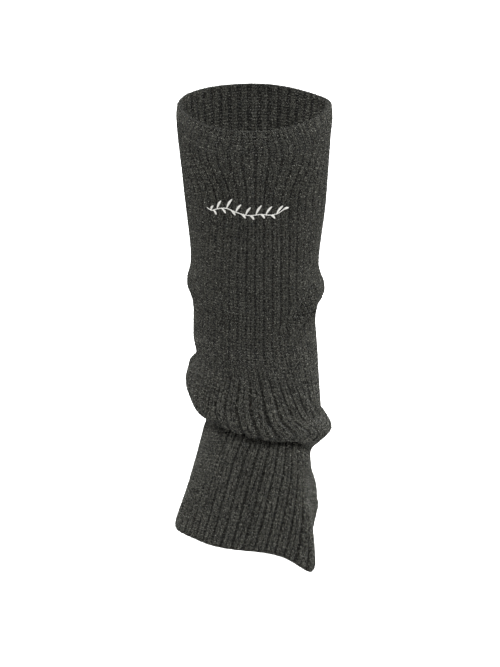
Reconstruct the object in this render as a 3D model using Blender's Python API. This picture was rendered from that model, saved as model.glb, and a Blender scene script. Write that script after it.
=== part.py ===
"""Slouched leg warmer: one tube of rib knit, filled out as on a leg and open at both ends.

Metres, +Z up, front towards -Y. The origin lies on the tube's axis, 25 mm under the top edge,
where the top of the tube grips the leg. The tables below are in millimetres and degrees.
"""

from dataclasses import dataclass, fields

import bmesh
import bpy
import numpy as np

OBJECT_NAME = "leg_warmer"
NODE_NAME = "rib_knit_tube"
MILLIMETRE = 0.001

# The cloth: ribs run the length of the tube, raised on the outside over a plain inside.
RIBS = 44
RIB_RISE = 1.2
BACKING = 1.7  # cloth between the inside and the bottom of a groove
RIB_OUTLINE = ((0.0, 0.0), (0.3, 1.0), (0.7, 1.0))  # share of a rib's pitch, share of its rise
INSIDE_PHASE = 0.5  # the inside has one point a rib, behind its middle


@dataclass(frozen=True)
class Section:
    """One round of the tube. The rounds between two sections are faired through them."""

    name: str
    rings: int  # steps down to the next section
    height: float
    half_width: float
    half_depth: float
    right: float = 0.0  # shift of its middle towards +X
    back: float = 0.0  # shift of its middle towards +Y
    right_drop: float = 0.0  # how far the +X side hangs below the middle
    front_lift: float = 0.0  # how far the front lies above the middle
    side_drop: float = 0.0  # how far both sides hang below front and back
    turn: float = 0.0  # twist of the ribs about the leg, towards +X at the front


SECTIONS = (
    #       name         rings height  width depth right back  r_drop f_lift s_drop turn
    Section("top edge", 1, 24.7, 59.6, 57.5, -0.2, 0.0, -1.2, -1.2, -1.8),
    Section("grip", 1, 15.0, 60.5, 58.8, -0.2, 0.0, -0.6, -1.0, -1.6),
    Section("under grip", 1, 0.0, 59.5, 58.3, -0.3, 0.0, 0.0, -0.5, -0.8),
    Section("upper calf", 1, -29.4, 57.2, 57.3, 0.3, 1.5),
    Section("calf", 1, -59.4, 54.9, 56.8, 0.8, 3.0),
    Section("lower calf", 1, -92.0, 51.3, 54.8, 0.5, 3.0),
    Section("above roll", 2, -104.0, 50.4, 53.8, 0.2, 2.7, 1.0),
    Section("roll", 2, -125.5, 49.4, 52.0, 0.5, 2.3, 2.5),
    Section("below roll", 1, -137.0, 48.7, 51.4, 0.5, 2.0, 3.0),
    Section("waist", 1, -150.0, 48.4, 51.2, 0.0, 1.7, 3.0),
    Section("shin", 2, -172.0, 49.3, 51.2, 0.6, 1.2, 5.0),
    Section("shoulder", 2, -206.0, 50.6, 52.5, 2.9, 0.0, 20.0, 0.0, 5.0),
    Section("slope", 2, -216.0, 53.4, 57.5, 1.0, -1.0, 20.0, 0.0, 1.7, 1.5),
    Section("brow", 2, -227.0, 57.6, 62.0, 2.5, -1.5, 19.5, 0.0, 1.1, 3.0),
    Section("lip", 2, -234.4, 55.3, 61.0, 3.0, -1.5, 16.9, 0.7, 1.1, 4.0),
    Section("under lip", 1, -240.1, 50.2, 56.5, 2.1, -1.5, 15.6, 1.6, 4.0, 4.0),
    Section("return", 2, -243.2, 45.4, 51.5, 2.1, -1.0, 15.7, 4.3, 7.0, 2.0),
    Section("neck", 2, -247.3, 42.2, 48.0, 3.0, 0.0, 15.5, 7.0, 10.3, 0.0),
    Section("cuff top", 2, -257.0, 42.9, 48.0, 2.1, 1.0, 16.0, 7.5, 9.8, -3.0),
    Section("ankle", 2, -281.5, 45.9, 50.0, -0.6, 1.5, 11.0, 4.0, 7.5, -10.0),
    Section("heel", 2, -307.0, 49.7, 52.5, -2.7, 1.0, 4.5, 0.0, 4.0, -17.0),
    Section("hem", 0, -334.5, 53.4, 52.5, -6.2, 0.0, 1.0, 0.0, 0.8, -22.0),
)


@dataclass(frozen=True)
class Fold:
    """A swelling, hollow or drag of the cloth that fades out around its middle."""

    name: str
    down: float  # its middle, down the cloth from the top edge
    along: float  # its reach up and down the cloth
    angle: float  # its middle, round from +X
    around: float  # its reach to each side
    out: float = 0.0  # push away from the leg
    lift: float = 0.0  # push upwards
    twist: float = 0.0  # drag of the ribs round the leg
    slant: float = 0.0  # degrees that its middle drifts for each millimetre down
    below: float = 0.0  # its reach down the cloth from its middle, where that differs


FOLDS = (
    Fold("right roll", 152.5, 11.5, 2.0, 40.0, out=6.2),
    Fold("left roll", 151.5, 12.0, 178.0, 38.0, out=4.7),
    Fold("rim dip", 0.0, 16.0, 36.0, 34.0, lift=-4.2),
    Fold("right crease", 168.0, 15.0, -22.0, 11.0, out=-3.0, slant=-2.0),
    Fold("back-left lobe", 241.0, 7.5, 150.0, 22.0, out=4.0),
    Fold("left nick", 237.0, 7.0, 174.0, 8.0, out=-3.0),
    Fold("right tuck", 240.0, 5.0, -6.0, 24.0, out=-3.2),
    Fold("nose lift", 256.0, 18.0, -44.0, 24.0, lift=7.5),
    Fold("fan", 262.0, 36.0, -48.0, 46.0, twist=34.0, below=10.0),
    Fold("fan left", 262.0, 36.0, -112.0, 26.0, twist=-10.0, below=10.0),
    Fold("lip level", 262.0, 16.0, -66.0, 26.0, lift=1.6),
    Fold("drag left", 64.0, 26.0, -140.0, 34.0, twist=5.0, below=40.0),
    Fold("tuck", 281.0, 7.5, -84.0, 64.0, lift=8.0),
    Fold("nose", 254.0, 6.5, -4.0, 18.0, out=2.2, below=9.0),
    Fold("hem front", 371.0, 30.0, -105.0, 62.0, lift=-2.6),
    Fold("hem corner", 371.0, 45.0, -35.0, 14.0, out=12.5),
    Fold("hem droop", 371.0, 40.0, -36.0, 32.0, lift=-15.0),
    Fold("corner droop", 371.0, 26.0, -34.0, 13.0, lift=-12.0),
    Fold("hem left", 371.0, 46.0, 182.0, 22.0, out=6.2, lift=-3.4),
    Fold("hem back", 371.0, 70.0, 24.0, 20.0, out=8.2, lift=8.0),
    Fold("hem curl", 368.0, 4.0, 25.0, 9.0, out=3.5),
)



@dataclass(frozen=True)
class Gather:
    """Ribs drawn together, or spread where the pull is below nought, round a place."""

    name: str
    down: float  # its middle, down the cloth from the top edge
    above: float  # its reach up the cloth
    below: float  # its reach down the cloth
    angle: float  # its middle, round from +X
    around: float  # its reach to each side
    pull: float  # how hard it draws the ribs in


GATHERS = (
    Gather("over the stitching", 23.0, 15.0, 26.0, -94.0, 75.0, -22.0),
    Gather("at the stitching", 66.0, 34.0, 46.0, -94.0, 75.0, 13.0),
    Gather("cuff", 312.0, 24.0, 90.0, -80.0, 60.0, -20.0),
)

NORMAL_STEP_DOWN = 0.4
NORMAL_STEP_ROUND = 0.2

COLOUR = (0.041, 0.041, 0.036, 1.0)
ROUGHNESS = 0.95
SHARP_ANGLE = 50.0

SHAPE_COLUMNS = [column.name for column in fields(Section)][2:]
SHAPE = np.array([[getattr(section, name) for name in SHAPE_COLUMNS] for section in SECTIONS])


def depths_of_sections():
    """Each section's distance down the cloth from the top edge."""
    radius = SHAPE[:, 1:3].mean(axis=1)
    steps = np.hypot(np.diff(radius), np.diff(SHAPE[:, 0]))
    return np.concatenate([[0.0], np.cumsum(steps)])


DEPTHS = depths_of_sections()


def slopes_of_sections():
    """Slope of every column at every section, from the two stretches that meet there."""
    stretch = np.diff(DEPTHS)[:, None]
    chord = np.diff(SHAPE, axis=0) / stretch
    inner = (stretch[1:] * chord[:-1] + stretch[:-1] * chord[1:]) / (stretch[1:] + stretch[:-1])
    return np.vstack([chord[:1], inner, chord[-1:]])


SLOPES = slopes_of_sections()


def shape_at(down):
    """Every column of the section table at the depths `down`, by cubic Hermite curves."""
    down = np.clip(down, DEPTHS[0], DEPTHS[-1])
    above = np.clip(np.searchsorted(DEPTHS, down, side="right") - 1, 0, len(DEPTHS) - 2)
    stretch = (DEPTHS[above + 1] - DEPTHS[above])[:, None]
    s = (down - DEPTHS[above])[:, None] / stretch
    value = (2 * s**3 - 3 * s**2 + 1) * SHAPE[above] + (3 * s**2 - 2 * s**3) * SHAPE[above + 1]
    value += (s**3 - 2 * s**2 + s) * stretch * SLOPES[above]
    value += (s**3 - s**2) * stretch * SLOPES[above + 1]
    return {name: value[:, column : column + 1] for column, name in enumerate(SHAPE_COLUMNS)}


def fade(distance, reach):
    """One in the middle of a fold, fading to nothing past its reach."""
    return np.exp(-((distance / reach) ** 2))


def degrees_between(angle, middle):
    """Signed angle from `middle` to `angle`, within half a turn."""
    return (angle - middle + 180.0) % 360.0 - 180.0


def fold_sum(kind, down, angle):
    """What all the folds together add of one kind: out, lift or twist."""
    total = np.zeros(np.broadcast(down, angle).shape)
    for fold in FOLDS:
        size = getattr(fold, kind)
        if size:
            below = down - fold.down
            reach = np.where(below > 0.0, fold.below or fold.along, fold.along)
            beside = degrees_between(angle, fold.angle + fold.slant * below)
            total += size * fade(below, reach) * fade(beside, fold.around)
    return total


def cloth_points(down, angle):
    """Points of the ribs' tops, in millimetres, at every depth `down` and every `angle`."""
    at = shape_at(down)
    down = np.asarray(down)[:, None]
    angle = np.asarray(angle)[None, :]
    turned = angle + at["turn"]
    for gather in GATHERS:
        beside = degrees_between(angle, gather.angle)
        reach = np.where(down > gather.down, gather.below, gather.above)
        pull = gather.pull * fade(down - gather.down, reach) * fade(beside, gather.around)
        turned = turned - pull * beside / gather.around
    turned = turned + fold_sum("twist", down, turned)
    out = fold_sum("out", down, turned)
    round_x = np.cos(np.radians(turned))
    round_y = np.sin(np.radians(turned))
    x = at["right"] + (at["half_width"] + out) * round_x
    y = at["back"] + (at["half_depth"] + out) * round_y
    z = at["height"] - at["right_drop"] * round_x - at["front_lift"] * round_y
    z = z - at["side_drop"] * np.cos(2 * np.radians(turned)) + fold_sum("lift", down, turned)
    return np.stack([x, y, z], axis=-1)


def cloth_normals(down, angle):
    """Directions out of the cloth at the same points."""
    above = np.maximum(down - NORMAL_STEP_DOWN, DEPTHS[0])
    below = np.minimum(down + NORMAL_STEP_DOWN, DEPTHS[-1])
    along = cloth_points(below, angle) - cloth_points(above, angle)
    around = cloth_points(down, angle + NORMAL_STEP_ROUND) - cloth_points(down, angle - NORMAL_STEP_ROUND)
    normals = np.cross(along, around)
    return normals / np.linalg.norm(normals, axis=-1, keepdims=True)


def ring_depths():
    """Depths of the rings: each section, and the steps between it and the next."""
    depths = [DEPTHS[0]]
    for number, section in enumerate(SECTIONS[:-1]):
        steps = np.linspace(DEPTHS[number], DEPTHS[number + 1], section.rings + 1)
        depths.extend(steps[1:])
    return np.array(depths)


def skin(depths, phases, sunk):
    """Rings of points round every rib at the given phases, each sunk below the ribs' tops."""
    pitch = 360.0 / RIBS
    angles = (np.arange(RIBS)[:, None] + np.array(phases)[None, :]).ravel() * pitch
    inwards = np.tile(sunk, RIBS)[None, :, None]
    return cloth_points(depths, angles) - inwards * cloth_normals(depths, angles)
# --- end of the cloth's geometry


def add_rings(mesh, rings):
    """Vertices for rings of points, in metres."""
    return [[mesh.verts.new(point * MILLIMETRE) for point in ring] for ring in rings]


def close_skin(mesh, rings, outwards):
    """Faces between neighbouring rings of one skin."""
    count = len(rings[0])
    for upper, lower in zip(rings, rings[1:]):
        for here in range(count):
            after = (here + 1) % count
            corners = [upper[here], lower[here], lower[after], upper[after]]
            mesh.faces.new(corners if outwards else corners[::-1])


def close_edge(mesh, outside, inside, upwards):
    """Faces between the ribbed outside and the plain inside along one open edge."""
    per_rib = len(RIB_OUTLINE)
    for rib in range(RIBS):
        behind = inside[rib]
        behind_next = inside[(rib + 1) % RIBS]
        groove, left, right = outside[rib * per_rib : (rib + 1) * per_rib]
        next_groove = outside[(rib + 1) * per_rib % len(outside)]
        next_left = outside[((rib + 1) * per_rib + 1) % len(outside)]
        fan = [(left, right, behind), (right, next_groove, behind)]
        fan += [(next_groove, behind_next, behind), (next_groove, next_left, behind_next)]
        for corners in fan:
            mesh.faces.new(corners if upwards else corners[::-1])


def knit_material():
    """Matt charcoal knit."""
    material = bpy.data.materials.new("charcoal_knit")
    material.use_nodes = True
    shader = material.node_tree.nodes["Principled BSDF"]
    shader.inputs["Base Color"].default_value = COLOUR
    shader.inputs["Roughness"].default_value = ROUGHNESS
    shader.inputs["Metallic"].default_value = 0.0
    return material


def knit_tube(collection):
    """The whole tube as one closed wall, open through its middle."""
    depths = ring_depths()
    phases, rises = zip(*RIB_OUTLINE)
    outer = skin(depths, phases, RIB_RISE * (1.0 - np.array(rises)))
    inner = skin(depths, (INSIDE_PHASE,), np.array([RIB_RISE + BACKING]))
    work = bmesh.new()
    outside = add_rings(work, outer)
    inside = add_rings(work, inner)
    close_skin(work, outside, outwards=True)
    close_skin(work, inside, outwards=False)
    close_edge(work, outside[0], inside[0], upwards=True)
    close_edge(work, outside[-1], inside[-1], upwards=False)
    bmesh.ops.triangulate(work, faces=work.faces[:])
    mesh = bpy.data.meshes.new(NODE_NAME)
    work.to_mesh(mesh)
    work.free()
    mesh.shade_smooth()
    mesh.set_sharp_from_angle(angle=np.radians(SHARP_ANGLE))
    mesh.materials.append(knit_material())
    tube = bpy.data.objects.new(NODE_NAME, mesh)
    collection.objects.link(tube)
    return tube


def main():
    """Empty the scene and build the leg warmer in its own collection."""
    for item in list(bpy.data.objects):
        bpy.data.objects.remove(item, do_unlink=True)
    collection = bpy.data.collections.new(OBJECT_NAME)
    bpy.context.scene.collection.children.link(collection)
    knit_tube(collection)


main()
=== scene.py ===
"""Looks of a slouched leg warmer: its marled rib knit, its edges and its embroidered sprig.

Sizes are in millimetres and degrees until a mesh is made, and in metres from then on. The front
faces -Y, angles go round from +X, and depths run down the cloth from the top edge.
"""

import logging
import math
from dataclasses import dataclass, fields
from enum import Enum

import bmesh
import bpy
import numpy as np
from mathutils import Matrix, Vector


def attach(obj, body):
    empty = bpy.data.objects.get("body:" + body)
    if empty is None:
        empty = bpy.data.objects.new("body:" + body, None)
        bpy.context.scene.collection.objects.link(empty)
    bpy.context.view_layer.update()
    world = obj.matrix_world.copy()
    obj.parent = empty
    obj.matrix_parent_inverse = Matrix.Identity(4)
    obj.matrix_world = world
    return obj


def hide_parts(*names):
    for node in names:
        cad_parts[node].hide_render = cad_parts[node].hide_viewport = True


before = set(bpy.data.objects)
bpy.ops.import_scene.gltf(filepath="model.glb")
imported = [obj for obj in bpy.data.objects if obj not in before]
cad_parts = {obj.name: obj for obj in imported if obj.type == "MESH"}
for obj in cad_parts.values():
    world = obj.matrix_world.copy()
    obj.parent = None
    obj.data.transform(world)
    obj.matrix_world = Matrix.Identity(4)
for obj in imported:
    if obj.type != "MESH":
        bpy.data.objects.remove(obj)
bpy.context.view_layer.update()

LOG = logging.getLogger("leg_warmer")
BODY = "root"
TUBE_NODE = "rib_knit_tube"
MILLIMETRE = 0.001
MERGE_DISTANCE = 1e-7  # in metres, like the next
MIDDLE = (-0.0036, 0.0, -0.168)
BAKE_MAP = "OFBake"
KNIT_MAP = "knit"
# the rib height stored on the wall, from which its finish paints shade into the grooves
RISE = "rise"
TONE = "tone"
NOISE_MIDDLE = 0.5  # what a noise node's values lie around
NOISE_GAIN = 4.0  # what brings them to about one each way
FIRST_COLOUR, SECOND_COLOUR, MIXED_COLOUR = 6, 7, 2  # the sockets of a Mix node that takes colours
Numbers = np.ndarray
Colour = tuple[float, float, float, float]
Place = tuple[float, float, float]
Pairs = tuple[tuple[float, float], ...]


@dataclass(frozen=True)
class Section:
    """One round of the tube. The rounds between two sections are faired through them."""

    name: str
    height: float
    half_width: float
    half_depth: float
    right: float = 0.0  # shift of its middle towards +X
    back: float = 0.0  # shift of its middle towards +Y
    right_drop: float = 0.0  # how far the +X side hangs below the middle
    front_lift: float = 0.0  # how far the front lies above the middle
    side_drop: float = 0.0  # how far both sides hang below front and back
    turn: float = 0.0  # twist of the ribs about the leg, towards +X at the front


@dataclass(frozen=True)
class Fold:
    """A swelling, hollow, drag or tightening of the cloth that fades out around its middle."""

    name: str
    down: float  # its middle, down the cloth from the top edge
    along: float  # its reach up and down the cloth
    angle: float  # its middle, round from +X
    around: float  # its reach to each side
    out: float = 0.0  # push away from the leg
    lift: float = 0.0  # push upwards
    twist: float = 0.0  # drag of the ribs round the leg
    deepen: float = 0.0  # how much deeper the ribs' grooves are
    slant: float = 0.0  # degrees that its middle drifts for each millimetre down
    below: float = 0.0  # its reach down the cloth from its middle, where that differs


@dataclass(frozen=True)
class Gather:
    """Ribs drawn together, or spread where the pull is below nought, round a place."""

    name: str
    down: float  # its middle, down the cloth from the top edge
    above: float  # its reach up the cloth
    below: float  # its reach down the cloth
    angle: float  # its middle, round from +X
    around: float  # its reach to each side
    pull: float  # how hard it draws the ribs in


SECTIONS = (
    #       name         height  width depth right back  r_drop f_lift s_drop turn
    Section("top edge", 24.7, 59.6, 57.5, -0.2, 0.0, -1.2, -1.2, -1.8),
    Section("grip", 15.0, 60.5, 58.8, -0.2, 0.0, -0.6, -1.0, -1.6),
    Section("under grip", 0.0, 59.5, 58.3, -0.3, 0.0, 0.0, -0.5, -0.8),
    Section("upper calf", -29.4, 57.2, 57.3, 0.3, 1.5),
    Section("calf", -59.4, 54.9, 56.8, 0.8, 3.0),
    Section("lower calf", -92.0, 51.3, 54.8, 0.5, 3.0),
    Section("above roll", -104.0, 50.4, 53.8, 0.2, 2.7, 1.0),
    Section("roll", -125.5, 49.4, 52.0, 0.5, 2.3, 2.5),
    Section("below roll", -137.0, 48.7, 51.4, 0.5, 2.0, 3.0),
    Section("waist", -150.0, 48.4, 51.2, 0.0, 1.7, 3.0),
    Section("shin", -172.0, 49.3, 51.2, 0.6, 1.2, 5.0),
    Section("shoulder", -206.0, 50.6, 52.5, 2.9, 0.0, 20.0, 0.0, 5.0),
    Section("slope", -216.0, 53.4, 57.5, 1.0, -1.0, 20.0, 0.0, 1.7, 1.5),
    Section("brow", -227.0, 57.6, 62.0, 2.5, -1.5, 19.5, 0.0, 1.1, 3.0),
    Section("lip", -234.4, 55.3, 61.0, 3.0, -1.5, 16.9, 0.7, 1.1, 4.0),
    Section("under lip", -240.1, 50.2, 56.5, 2.1, -1.5, 15.6, 1.6, 4.0, 4.0),
    Section("return", -243.2, 45.4, 51.5, 2.1, -1.0, 15.7, 4.3, 7.0, 2.0),
    Section("neck", -247.3, 42.2, 48.0, 3.0, 0.0, 15.5, 7.0, 10.3, 0.0),
    Section("cuff top", -257.0, 42.9, 48.0, 2.1, 1.0, 16.0, 7.5, 9.8, -3.0),
    Section("ankle", -281.5, 45.9, 50.0, -0.6, 1.5, 11.0, 4.0, 7.5, -10.0),
    Section("heel", -307.0, 49.7, 52.5, -2.7, 1.0, 4.5, 0.0, 4.0, -17.0),
    Section("hem", -334.5, 53.4, 52.5, -6.2, 0.0, 1.0, 0.0, 0.8, -22.0),
)

FOLDS = (
    #    name           down  along  angle  around
    Fold("right roll", 152.5, 11.5, 2.0, 40.0, out=6.2),
    Fold("left roll", 151.5, 12.0, 178.0, 38.0, out=4.7),
    Fold("rim dip", 0.0, 16.0, 36.0, 34.0, lift=-4.2),
    Fold("right crease", 168.0, 15.0, -22.0, 11.0, out=-3.0, slant=-2.0),
    Fold("back-left lobe", 241.0, 7.5, 150.0, 22.0, out=4.0),
    Fold("left nick", 237.0, 7.0, 174.0, 8.0, out=-3.0),
    Fold("right tuck", 240.0, 5.0, -6.0, 24.0, out=-3.2),
    Fold("nose lift", 256.0, 18.0, -44.0, 24.0, lift=7.5),
    Fold("fan", 262.0, 36.0, -48.0, 46.0, twist=34.0, below=10.0),
    Fold("fan left", 262.0, 36.0, -112.0, 26.0, twist=-10.0, below=10.0),
    Fold("lip level", 262.0, 16.0, -66.0, 26.0, lift=1.6),
    Fold("tuck", 281.0, 7.5, -84.0, 64.0, lift=8.0),
    Fold("drag left", 64.0, 26.0, -140.0, 34.0, twist=5.0, below=40.0),
    Fold("stitched in", 56.0, 30.0, -94.0, 66.0, deepen=0.6, below=17.0),
    Fold("crease line", 160.0, 16.0, -48.0, 6.0, out=-3.4, slant=-1.15),
    Fold("crease ridge", 162.0, 16.0, -37.0, 5.5, out=3.0, slant=-1.15),
    Fold("nose ridge", 226.0, 11.0, -36.0, 6.0, out=2.2, slant=1.6),
    Fold("nose groove", 230.0, 11.0, -24.0, 6.0, out=-2.6, slant=1.6),
    Fold("straight calf", 132.0, 52.0, -74.0, 30.0, deepen=0.35),
    Fold("smooth skirt", 232.0, 26.0, -142.0, 38.0, deepen=-0.35),
    Fold("smooth cuff", 300.0, 30.0, -148.0, 34.0, deepen=-0.75),
    Fold("nose", 254.0, 6.5, -4.0, 18.0, out=2.2, below=9.0),
    Fold("hem front", 371.0, 30.0, -105.0, 62.0, lift=-2.6),
    Fold("hem corner", 371.0, 45.0, -35.0, 14.0, out=12.5),
    Fold("hem droop", 371.0, 40.0, -36.0, 32.0, lift=-15.0),
    Fold("corner droop", 371.0, 26.0, -34.0, 13.0, lift=-12.0),
    Fold("hem left", 371.0, 46.0, 182.0, 22.0, out=6.2, lift=-3.4),
    Fold("hem back", 371.0, 70.0, 24.0, 20.0, out=8.2, lift=8.0),
    Fold("hem curl", 368.0, 4.0, 25.0, 9.0, out=3.5),
)

GATHERS = (
    #      name                 down  above below  angle around pull
    Gather("over the stitching", 23.0, 15.0, 26.0, -94.0, 75.0, -22.0),
    Gather("at the stitching", 66.0, 34.0, 46.0, -94.0, 75.0, 13.0),
    Gather("cuff", 312.0, 24.0, 90.0, -80.0, 60.0, -20.0),
)


def fade(distance: Numbers, reach: float) -> Numbers:
    """One in the middle of a fold, fading to nothing past its reach."""
    return np.exp(-((distance / reach) ** 2))


def degrees_between(angle: Numbers, middle: Numbers) -> Numbers:
    """Signed angle from `middle` to `angle`, within half a turn."""
    return (angle - middle + 180.0) % 360.0 - 180.0


def unit(vectors: Numbers) -> Numbers:
    """The same directions, one long."""
    return vectors / np.linalg.norm(vectors, axis=-1, keepdims=True)


def from_groove(phase: Numbers) -> Numbers:
    """How far the nearest groove is, in ribs: a half on the top of a rib."""
    return np.abs((phase + 0.5) % 1.0 - 0.5)


def swing(draw: np.random.RandomState, *shape: int) -> Numbers:
    """Random numbers, from half under nought to half over it."""
    return draw.rand(*shape) - 0.5


def length_along(points: Numbers) -> Numbers:
    """How far along a line each of its points lies."""
    return np.concatenate([[0.0], np.cumsum(np.linalg.norm(np.diff(points, axis=0), axis=1))])


def curved(places: Numbers, rows: Numbers, slopes: Numbers, at: Numbers) -> Numbers:
    """Reads smooth curves through rows of numbers, by cubic Hermite pieces.

    Args:
        places: Where each row lies, in rising order.
        rows: The rows.
        slopes: How fast each row's numbers change there.
        at: The places to read, none past the first or the last.

    Returns:
        One row for each place read.
    """
    before = np.clip(np.searchsorted(places, at, side="right") - 1, 0, len(places) - 2)
    gap = (places[before + 1] - places[before])[:, None]
    s = (at - places[before])[:, None] / gap
    curve = (2 * s**3 - 3 * s**2 + 1) * rows[before]
    curve += (3 * s**2 - 2 * s**3) * rows[before + 1]
    curve += (s**3 - 2 * s**2 + s) * gap * slopes[before]
    curve += (s**3 - s**2) * gap * slopes[before + 1]
    return curve


@dataclass
class ClothForm:
    """The tube's shape before its ribs: the surface that the tops of the ribs lie in."""

    sections: tuple[Section, ...] = SECTIONS
    folds: tuple[Fold, ...] = FOLDS
    gathers: tuple[Gather, ...] = GATHERS
    step_down: float = 0.4  # millimetres each way, for the direction down the cloth
    step_round: float = 0.2  # degrees each way, for the direction round it

    def __post_init__(self) -> None:
        """Works out how far down the cloth each section lies, and the slopes there."""
        self.names = [column.name for column in fields(Section)][1:]
        rows = [[getattr(section, name) for name in self.names] for section in self.sections]
        self.table = np.array(rows)
        radius = self.table[:, 1:3].mean(axis=1)
        steps = np.hypot(np.diff(radius), np.diff(self.table[:, 0]))
        self.depths = np.concatenate([[0.0], np.cumsum(steps)])
        stretch = steps[:, None]
        chord = np.diff(self.table, axis=0) / stretch
        inner = (stretch[1:] * chord[:-1] + stretch[:-1] * chord[1:]) / (stretch[1:] + stretch[:-1])
        self.slopes = np.vstack([chord[:1], inner, chord[-1:]])

    @property
    def length(self) -> float:
        """The cloth's length from its top edge to its hem, as it is worn."""
        return float(self.depths[-1])

    def shape_at(self, down: Numbers) -> dict[str, Numbers]:
        """Reads every column of the section table.

        Args:
            down: Depths, in an array of any shape.

        Returns:
            Each column by its name, in arrays of the same shape.
        """
        shape = np.shape(down)
        down = np.clip(np.ravel(down), self.depths[0], self.depths[-1])
        value = curved(self.depths, self.table, self.slopes, down)
        return {name: value[:, column].reshape(shape) for column, name in enumerate(self.names)}

    def fold_sum(self, kind: str, down: Numbers, angle: Numbers) -> Numbers:
        """What all the folds together add of one kind.

        Args:
            kind: One of out, lift, twist and deepen.
            down: Depths down the cloth.
            angle: Angles round the leg.

        Returns:
            The sum at each depth and angle.
        """
        total = np.zeros(np.broadcast(down, angle).shape)
        for fold in self.folds:
            size = getattr(fold, kind)
            if size:
                below = down - fold.down
                reach = np.where(below > 0.0, fold.below or fold.along, fold.along)
                beside = degrees_between(angle, fold.angle + fold.slant * below)
                total += size * fade(below, reach) * fade(beside, fold.around)
        return total

    def turned(self, down: Numbers, angle: Numbers) -> Numbers:
        """Where round the leg a rib stands, once its turn, the gathers and the twists have moved it.

        Args:
            down: Depths down the cloth.
            angle: The ribs' own angles, as if the tube were straight.

        Returns:
            The angles at which they stand.
        """
        turned = angle + self.shape_at(down)["turn"]
        for gather in self.gathers:
            beside = degrees_between(angle, gather.angle)
            below = down - gather.down
            reach = np.where(below > 0.0, gather.below, gather.above)
            pull = gather.pull * fade(below, reach) * fade(beside, gather.around)
            turned = turned - pull * beside / gather.around
        return turned + self.fold_sum("twist", down, turned)

    def place(self, down: Numbers, turned: Numbers) -> Numbers:
        """Points of the form.

        Args:
            down: Depths down the cloth.
            turned: Angles round the leg.

        Returns:
            One point for each depth and angle.
        """
        at = self.shape_at(down)
        out = self.fold_sum("out", down, turned)
        round_x, round_y = np.cos(np.radians(turned)), np.sin(np.radians(turned))
        x = at["right"] + (at["half_width"] + out) * round_x
        y = at["back"] + (at["half_depth"] + out) * round_y
        z = at["height"] - at["right_drop"] * round_x - at["front_lift"] * round_y
        z = z - at["side_drop"] * np.cos(2 * np.radians(turned))
        z = z + self.fold_sum("lift", down, turned)
        return np.stack(np.broadcast_arrays(x, y, z), axis=-1)

    def points(self, down: Numbers, angle: Numbers) -> Numbers:
        """Points of the form at depths and at ribs' own angles."""
        return self.place(down, self.turned(down, angle))

    def normals(self, down: Numbers, angle: Numbers) -> Numbers:
        """Directions out of the cloth.

        Args:
            down: Depths down the cloth.
            angle: Ribs' own angles.

        Returns:
            One direction for each depth and angle.
        """
        above = np.maximum(down - self.step_down, 0.0)
        below = np.minimum(down + self.step_down, self.length)
        along = self.points(below, angle) - self.points(above, angle)
        step = self.step_round
        around = self.points(down, angle + step) - self.points(down, angle - step)
        return unit(np.cross(along, around))


class Face(Enum):
    """The two faces of the cloth."""

    OUTSIDE = 1.0
    INSIDE = -1.0


class End(Enum):
    """The two open ends of the tube."""

    TOP = 0.0
    HEM = 1.0


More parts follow.
